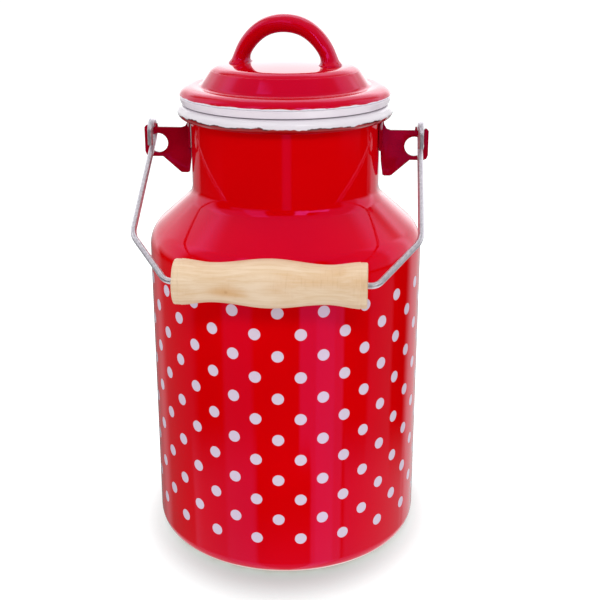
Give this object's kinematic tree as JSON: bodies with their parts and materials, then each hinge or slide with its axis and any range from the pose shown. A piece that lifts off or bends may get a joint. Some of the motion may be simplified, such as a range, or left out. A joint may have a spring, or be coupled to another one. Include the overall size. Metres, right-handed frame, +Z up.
{
  "type": "milk can",
  "caption": "Small enamelled milk can with a shouldered body, a lift-off lid with an arch handle, and a wire bail with a turned wooden grip.",
  "frame": {"origin": "centre of the foot, on the surface the can stands on", "axes": "+Z up along the can's axis, the two ears and the bail's pivot line along X, the bail hanging down in front towards -Y"},
  "size_m": [0.129, 0.1453, 0.244],
  "materials": {
    "red_enamel": "gloss red vitreous enamel on sheet steel",
    "foot_enamel": "cream ground enamel, thin at the edge",
    "white_enamel": "gloss white vitreous enamel",
    "ear_enamel": "gloss dark red enamel on thick sheet steel",
    "galvanised_wire": "drawn galvanised wire, satin",
    "beech": "turned pale hardwood, sanded, unvarnished"
  },
  "bodies": {
    "can": {"body_wall": "red_enamel", "bottom_pan": "foot_enamel", "shoulder": "red_enamel", "neck": "red_enamel", "mouth_bead": "white_enamel", "ear_left": "ear_enamel", "ear_right": "ear_enamel"},
    "bail": {"bail_wire": "galvanised_wire"},
    "grip": {"bail_grip": "beech"},
    "lid": {"lid_cover": "red_enamel", "lid_liner": "white_enamel", "lid_handle": "red_enamel"}
  },
  "joints": [
    {"name": "bail_swing", "type": "hinge", "parent": "can", "child": "bail", "pos_m": [0, 0, 0.1912], "axis": [-1, 0, 0], "range_deg": [0, 245]},
    {"name": "grip_spin", "type": "hinge", "parent": "bail", "child": "grip", "pos_m": [0, -0.07275, 0.1442], "axis": [1, 0, 0], "continuous": true},
    {"name": "lid_lift", "type": "slide", "parent": "can", "child": "lid", "axis": [0, 0, 1], "range_m": [0, 0.05]}
  ]
}
